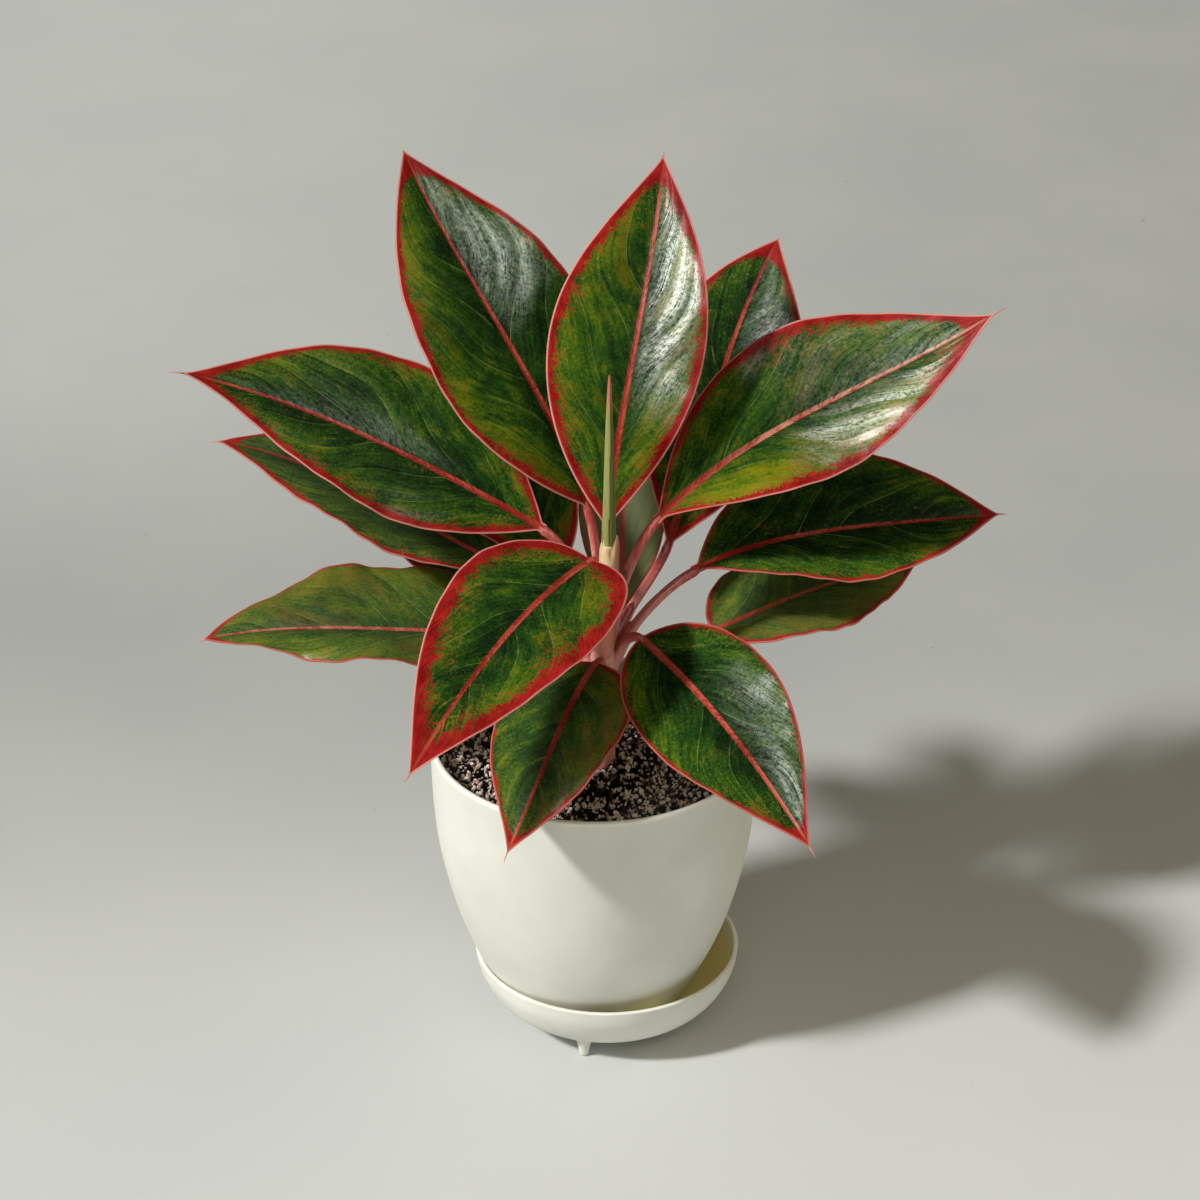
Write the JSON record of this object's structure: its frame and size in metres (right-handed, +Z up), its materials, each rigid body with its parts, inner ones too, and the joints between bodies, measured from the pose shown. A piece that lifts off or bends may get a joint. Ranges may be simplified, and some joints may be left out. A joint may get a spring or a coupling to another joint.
{
  "type": "potted chinese evergreen",
  "caption": "Red-edged foliage plant in a small tapered pot that stands in a shallow saucer with peg feet.",
  "frame": {"origin": "on the floor under the axis of the pot, at the bottom centre of the plant's box", "axes": "+Z up, -Y towards the front with the lowest leaves, +X to the right seen from the front"},
  "size_m": [0.3187, 0.218, 0.3478],
  "materials": {
    "cream_pot": "smooth matte to satin cream",
    "potting_mix": "rough dark granules with pale flecks",
    "pink_stalk": "smooth satin pink stalks",
    "young_leaf": "smooth satin pale green with a pink tip",
    "leaf_blade": "glossy deep green, mottled, with a red margin and rib"
  },
  "bodies": {
    "root": {"pot": "cream_pot", "saucer": "cream_pot", "soil": "potting_mix", "shoot": "pink_stalk", "spear_leaf": "young_leaf", "leaf_top_left": "leaf_blade", "leaf_top": "leaf_blade", "leaf_upper_right": "leaf_blade", "leaf_back_right": "leaf_blade", "leaf_right": "leaf_blade", "leaf_lower_right": "leaf_blade", "leaf_front_right": "leaf_blade", "leaf_front": "leaf_blade", "leaf_front_left": "leaf_blade", "leaf_left": "leaf_blade", "leaf_left_back": "leaf_blade", "leaf_lower_left": "leaf_blade", "leaf_rear_left": "leaf_blade", "leaf_rear": "leaf_blade", "leaf_rear_low": "leaf_blade"}
  },
  "joints": []
}
